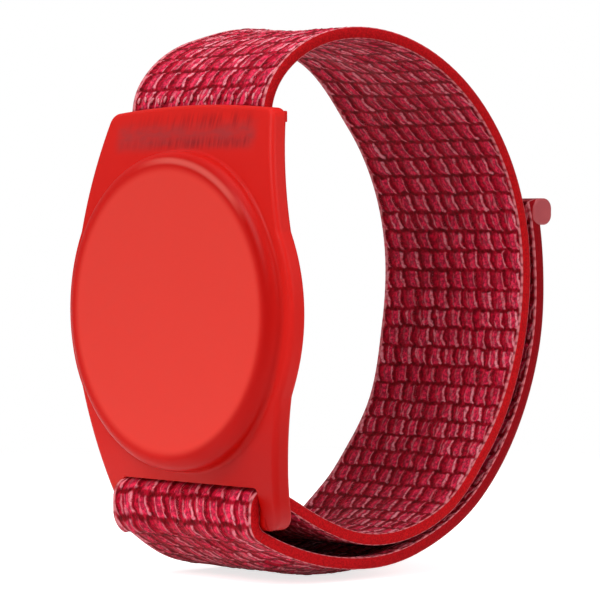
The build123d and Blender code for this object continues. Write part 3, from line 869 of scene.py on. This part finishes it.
@dataclass
class Weaver:
    """Makes a length of woven cloth with real relief, in millimetres."""

    shape: BandShape
    cell: Cell = CELL
    columns_per_cell: int = 8
    rows_per_cell: int = 8
    relief: float = 0.22
    edge_steps: int = 6
    edge_bulge: float = 0.16
    edge_dip: float = 0.10
    edge_fade: float = 0.3
    seed: int = 7
    chances: dict = field(default_factory=dict)

    def chance(self, column: int, row: int) -> float:
        """A value from 0 to 1 that stays the same for a cell.

        Args:
            column: the cell's column.
            row: the cell's row.

        Returns:
            The value.
        """
        key = (column, row)
        if key not in self.chances:
            self.chances[key] = random.Random(self.seed * 7919 + column * 613 + row * 131).random()
        return self.chances[key]

    def dip(self, across: float, along: float) -> float:
        """How far the surface lies below the tops of the yarn.

        Args:
            across: place across the cloth.
            along: place along the cloth.

        Returns:
            The depth, in millimetres.
        """
        cell = self.cell
        column, row = across / cell.across, along / cell.along
        chance = self.chance(math.floor(column), math.floor(row))
        s, t = column % 1.0, row % 1.0
        off = s - (cell.middle + cell.lean * t ** cell.lean_power) - cell.drift * (chance - 0.5)
        off = (off + 0.5) % 1.0 - 0.5
        crown = math.exp(-(off / 0.10) ** 2) + 0.8 * math.exp(-((off + cell.second) / 0.12) ** 2)
        ends = min(1.0, t / 0.16, (1.0 - t) / 0.14)
        lift = min(1.0, crown) * (0.25 + 0.75 * math.sin(ends * math.pi / 2)) * (0.5 + 0.5 * chance)
        return self.relief * (1.0 - lift)

    def outline(self) -> list[tuple[float, float, float, float]]:
        """The cross-section, once round: across, depth share, selvedge and side.

        Returns:
            The points in order, the first and the last in the same place.
        """
        width, steps = self.shape.width, self.edge_steps
        half = width / 2
        count = round(width / self.cell.across * self.columns_per_cell)
        wrist = [(-half + width * i / count, 0.0, 0.0, -1.0) for i in range(count + 1)]
        right_edge = [(half, i / steps, 1.0, 2 * i / steps - 1) for i in range(1, steps)]
        other = [(half - width * i / count, 1.0, 0.0, 1.0) for i in range(count + 1)]
        left_edge = [(-half, 1 - i / steps, 1.0, 1 - 2 * i / steps) for i in range(1, steps)]
        return [*wrist, *right_edge, *other, *left_edge, wrist[0]]

    def place(self, line: ClothLine, swells: Sequence[Swell], distance: float, across: float,
              depth: float) -> Vector:
        """Where a point of the cloth lies.

        Args:
            line: the line.
            swells: where the cloth leaves its even line.
            distance: place along the line.
            across: place across the cloth.
            depth: how deep in the cloth.

        Returns:
            The point.
        """
        y, z = line.at(distance, depth)
        out = (line.at(distance, self.shape.thickness) - line.at(distance, 0.0)).normalized()
        shares = [(swell, swell.share(distance, across)) for swell in swells]
        lift = sum(swell.outward * share for swell, share in shares)
        aside = sum(swell.sideways * share for swell, share in shares)
        return Vector((across + aside, y + out.x * lift, z + out.y * lift))

    def weave(self, line: ClothLine, name: str, finish: bpy.types.Material,
              swells: Sequence[Swell]) -> bpy.types.Object:
        """Make the cloth along a line.

        Args:
            line: the line.
            name: the piece's name.
            finish: its material.
            swells: where the cloth leaves its even line.

        Returns:
            The piece.
        """
        outline = self.outline()
        columns = len(outline) - 1
        rows = round(line.length / self.cell.along * self.rows_per_cell)
        thick = self.shape.thickness
        bm = bmesh.new()
        bmesh.ops.create_grid(bm, x_segments=columns, y_segments=rows, size=0.5)
        cloth = bm.verts.layers.float_vector.new("cloth")
        selvedge = bm.verts.layers.float.new("selvedge")
        for vert in bm.verts:
            across, depth, edge, side = outline[round((vert.co.x + 0.5) * columns)]
            distance = (vert.co.y + 0.5) * line.length
            along = line.begin + distance
            level, bulge = depth * thick, 0.0
            if edge:
                bulge = self.edge_bulge * math.sin(math.pi * depth)
            else:
                share = min(1.0, (self.shape.width / 2 - abs(across)) / self.edge_fade)
                level -= side * (self.edge_dip + (self.dip(across, along) - self.edge_dip) * share)
            vert[cloth] = (across, along, side)
            vert[selvedge] = edge
            vert.co = self.place(line, swells, distance, across, level)
            vert.co.x += math.copysign(bulge, across)
        bmesh.ops.remove_doubles(bm, verts=bm.verts, dist=1e-5)
        bmesh.ops.holes_fill(bm, edges=[e for e in bm.edges if e.is_boundary])
        bmesh.ops.recalc_face_normals(bm, faces=bm.faces)
        return finish_mesh(bm, name, finish)


# ---------------------------------------------------------------- sub-assemblies
@dataclass(frozen=True)
class Stitches:
    """The row of short pale stitches that closes the hem, in millimetres.

    Search is the stretch of the line, in fiftieths of a millimetre, on which they may lie.
    """

    height: float = 23.35
    search: tuple[int, int] = (300, 700)
    count: int = 19
    reach: float = 10.3
    long: float = 0.42
    thick: float = 0.15
    turn: float = 0.5
    waver: float = 0.12

    def build(self, line: ClothLine, thickness: float, finish: bpy.types.Material) -> bpy.types.Object:
        """Make the stitches on the outer face.

        Args:
            line: the band's line.
            thickness: the cloth's thickness.
            finish: the thread's material.

        Returns:
            The stitches, as one piece.
        """
        distance = min((step / 50 for step in range(*self.search)),
                       key=lambda place: abs(line.at(place, thickness).y - self.height))
        spot, ahead = line.at(distance, thickness), line.at(distance + 0.1, thickness)
        tilt = Matrix.Rotation(math.atan2(ahead.y - spot.y, ahead.x - spot.x), 4, "X")
        bm = bmesh.new()
        for number in range(self.count):
            share = number / (self.count - 1) * 2 - 1
            turn = Matrix.Rotation(self.turn * math.sin(number * 2.4), 4, "Z")
            height = spot.y + self.waver * math.sin(number * 1.7)
            place = Matrix.Translation((share * self.reach, spot.x, height))
            size = Matrix.Diagonal((self.thick, self.long, self.thick, 1.0))
            bmesh.ops.create_uvsphere(bm, u_segments=10, v_segments=6, radius=1.0,
                                      matrix=place @ tilt @ turn @ size)
        made = finish_mesh(bm, "hem_stitches", finish)
        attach(made, Body.BAND.value)
        return made


class Band:
    """The woven band and its free end."""

    # The left edge spreads at the lug, rises over the top and spreads down the back; the cloth under
    # the loop bows out, most at the left; and at the bar the left edge tucks in and spreads.
    band_swells = (
        Swell(4.0, 24.0, 0.0, -11.0, 0.0, -0.5, fade=6.0),
        Swell(19.0, 47.0, 2.0, -11.0, 1.2, 0.0, fade=11.0),
        Swell(20.0, 84.0, 2.0, -11.0, 0.0, -1.0, fade=12.0),
        Swell(88.0, 124.0, 40.0, 20.0, 0.7),
        Swell(95.0, 124.0, 2.0, -9.0, 1.5),
        Swell(124.0, 145.0, -2.0, -11.0, -0.5, -0.8, fade=3.0),
    )
    # Depth 0 of the free end is its outer side, so a negative swell lifts it off the loop.
    tail_swells = (
        Swell(-1.0, 34.0, 10.0, 3.0, -1.2),
        Swell(-6.0, 12.0, -2.0, -11.0, -0.1, -0.6),
        Swell(24.0, 66.0, -40.0, -20.0, -0.4, fade=12.0),
    )

    def __init__(self, effects: Effects) -> None:
        """Make the shape and the finishes.

        Args:
            effects: the shared effects.
        """
        self.shape = BandShape()
        self.weaver = Weaver(self.shape)
        self.finish = WeaveFinish("woven_crimson").make(effects)
        # The free end's selvedge darkens with painted shade along its length.
        self.tail_finish = WeaveFinish("woven_crimson_tail", dusk=(136.0, 176.0)).make(effects)
        thread = PlainFinish("hem_thread", srgb(236, 150, 158), srgb(206, 96, 108), 0.7, fine=9000.0)
        self.thread = thread.make(effects)

    def build(self) -> list[bpy.types.Object]:
        """Weave both lengths.

        Returns:
            The pieces.
        """
        line = self.shape.band_line()
        band = self.weaver.weave(line, "woven_band", self.finish, self.band_swells)
        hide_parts("wrist_band")
        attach(band, Body.BAND.value)
        tail = self.weaver.weave(self.shape.tail_line(line.length), "woven_tail", self.tail_finish,
                                 self.tail_swells)
        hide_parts("fastening_tail")
        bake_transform(tail)
        return [band, tail, Stitches().build(line, self.shape.thickness, self.thread)]


class Dresser:
    """Gives the carried CAD nodes their materials."""

    def __init__(self, effects: Effects) -> None:
        """Build the finishes.

        Args:
            effects: the shared effects.
        """
        steel = PlainFinish("polished_steel", srgb(196, 197, 200), srgb(190, 191, 195), 0.22, 1.0, broad=60)
        cell = PlainFinish("nickelled_steel", srgb(190, 188, 184), srgb(170, 168, 164), 0.35, 1.0)
        gold = PlainFinish("gilt_spring", srgb(206, 170, 96), srgb(190, 152, 84), 0.35, 1.0)
        copper = PlainFinish("copper_winding", srgb(196, 112, 70), srgb(170, 92, 54), 0.4, 1.0, fine=9000)
        plain = {
            "hem_rod": PlainFinish("nylon_rod", srgb(206, 204, 196), srgb(196, 194, 186), 0.5),
            "pull_tab": PlainFinish("tab_elastomer", srgb(184, 72, 76), srgb(170, 60, 66), 0.45),
            "tag_shell": PlainFinish("white_shell", srgb(232, 232, 230), srgb(224, 224, 222), 0.3),
            "tag_frame": PlainFinish("black_frame", srgb(34, 34, 36), srgb(46, 46, 48), 0.5),
            "battery_cover": steel,
            "coin_cell": cell,
            "positive_contact_left": gold,
            "positive_contact_right": gold,
            "negative_contact": gold,
            "circuit_board": PlainFinish("green_board", srgb(22, 84, 48), srgb(16, 70, 40), 0.4),
            "shield_can": steel,
            "sounder_magnet": cell,
            "sounder_coil": copper,
            "antenna_ring": copper,
        }
        self.finishes = {"pod_case": PodFinish().make(effects), "hook_patch": HookFinish().make()}
        for name, finish in plain.items():
            self.finishes[name] = finish.make(effects)

    def dress(self) -> list[str]:
        """Put each finish on its node.

        Returns:
            The nodes' names.
        """
        for name, finish in self.finishes.items():
            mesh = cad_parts[name].data
            mesh.materials.clear()
            mesh.materials.append(finish)
        return sorted(self.finishes)


@dataclass(frozen=True)
class Lamp:
    """A round lamp that faces the part: its bearings in degrees, its width in metres and its watts."""

    name: str
    turn: float
    lift: float
    size: float
    power: float


@dataclass
class Studio:
    """Camera, soft lights, white surroundings and the floor, in metres and degrees."""

    azimuth: float = 48.0
    elevation: float = 1.257
    distance: float = 0.36239
    lens: float = 192.36
    aim: tuple[float, float, float] = (0.0, -0.005, 0.001)
    lamps: tuple[Lamp, ...] = (Lamp("key", 10, 40, 0.35, 2.1), Lamp("fill", 110, 25, 0.4, 1.2),
                               Lamp("top", 40, 85, 0.5, 1.2))
    lamp_distance: float = 0.6
    sky_light: float = 0.32
    floor_z: float = -0.0299
    floor_near: float = 0.05
    floor_far: float = 0.2
    floor_pale: float = 0.9
    floor_glow: float = 0.75

    def build(self) -> None:
        """Set everything up."""
        self._camera()
        for lamp in self.lamps:
            self._light(lamp)
        self._floor()
        self._world()
        bpy.context.scene.view_settings.view_transform = "Standard"

    def _place(self, name: str, data: bpy.types.ID, turn: float, lift: float,
               away: float) -> bpy.types.Object:
        """Place a camera or a lamp so that it faces the part.

        Args:
            name: the object's name.
            data: its camera or light data.
            turn: its azimuth in degrees, 0 in front of the pod.
            lift: its height above the floor in degrees.
            away: its distance.

        Returns:
            The object.
        """
        a, b = math.radians(turn), math.radians(lift)
        back = Vector((math.sin(a) * math.cos(b), -math.cos(a) * math.cos(b), math.sin(b)))
        made = bpy.data.objects.new(name, data)
        bpy.context.scene.collection.objects.link(made)
        made.location = Vector(self.aim) + back * away
        made.rotation_euler = (-back).to_track_quat("-Z", "Y").to_euler()
        return made

    def _camera(self) -> None:
        """Make the camera."""
        data = bpy.data.cameras.new("camera")
        data.lens = self.lens
        data.sensor_width = 36
        data.clip_start = 0.01
        camera = self._place("camera", data, self.azimuth, self.elevation, self.distance)
        bpy.context.scene.camera = camera

    def _light(self, lamp: Lamp) -> None:
        """Make one soft light.

        Args:
            lamp: its name, bearings, width and power.
        """
        data = bpy.data.lights.new(lamp.name, "AREA")
        data.shape = "DISK"
        data.size = lamp.size
        data.energy = lamp.power
        self._place(lamp.name, data, lamp.turn, lamp.lift, self.lamp_distance)

    def _floor(self) -> None:
        """Make the floor, pale under the part and glowing white further away."""
        bm = bmesh.new()
        bmesh.ops.create_grid(bm, x_segments=1, y_segments=1, size=1.5)
        bmesh.ops.translate(bm, vec=(0, 0, self.floor_z), verts=bm.verts)
        material = bpy.data.materials.new("pale_floor")
        material.use_nodes = True
        graph = Graph(material.node_tree)
        shader = material.node_tree.nodes["Principled BSDF"]
        place = graph.split(graph.node("ShaderNodeTexCoord").outputs["Object"])
        share = graph.ramp(graph.reach(place["X"], place["Y"]), self.floor_near, self.floor_far)
        path = graph.node("ShaderNodeLightPath").outputs
        seen = graph.math("MAXIMUM", path["Is Camera Ray"], path["Is Glossy Ray"])
        glow = graph.mix(share, grey(self.floor_glow), grey(1.0))
        values = {"Roughness": 0.9, "Specular IOR Level": 0.0, "Emission Strength": 1.0,
                  "Base Color": graph.mix(share, grey(self.floor_pale), grey(0.0)),
                  "Emission Color": graph.mix(seen, grey(0.0), glow)}
        for name, value in values.items():
            graph.feed(shader.inputs[name], value)
        floor = finish_mesh(bm, "floor", material, scale=1.0)

    def _world(self) -> None:
        """Make the surroundings white where they are seen and softer as light."""
        world = bpy.data.worlds.new("surroundings")
        bpy.context.scene.world = world
        world.use_nodes = True
        world.node_tree.nodes.clear()
        graph = Graph(world.node_tree)
        path = graph.node("ShaderNodeLightPath").outputs
        seen = graph.math("MAXIMUM", path["Is Camera Ray"], path["Is Transmission Ray"])
        soft, white = [graph.fed("ShaderNodeBackground", {"Color": grey(1.0), "Strength": strength})[0]
                       for strength in (self.sky_light, 1.0)]
        blend = graph.fed("ShaderNodeMixShader", {0: seen, 1: soft, 2: white})[0]
        graph.fed("ShaderNodeOutputWorld", {"Surface": blend})


def main() -> None:
    """Build the whole scene."""
    logging.basicConfig(level=logging.INFO, format="%(name)s: %(message)s")
    effects = Effects()
    for piece in Band(effects).build():
        LOG.info("built %s with %d faces", piece.name, len(piece.data.polygons))
    for name in Dresser(effects).dress():
        LOG.info("dressed %s", name)
    Studio().build()


if __name__ == "__main__":
    main()
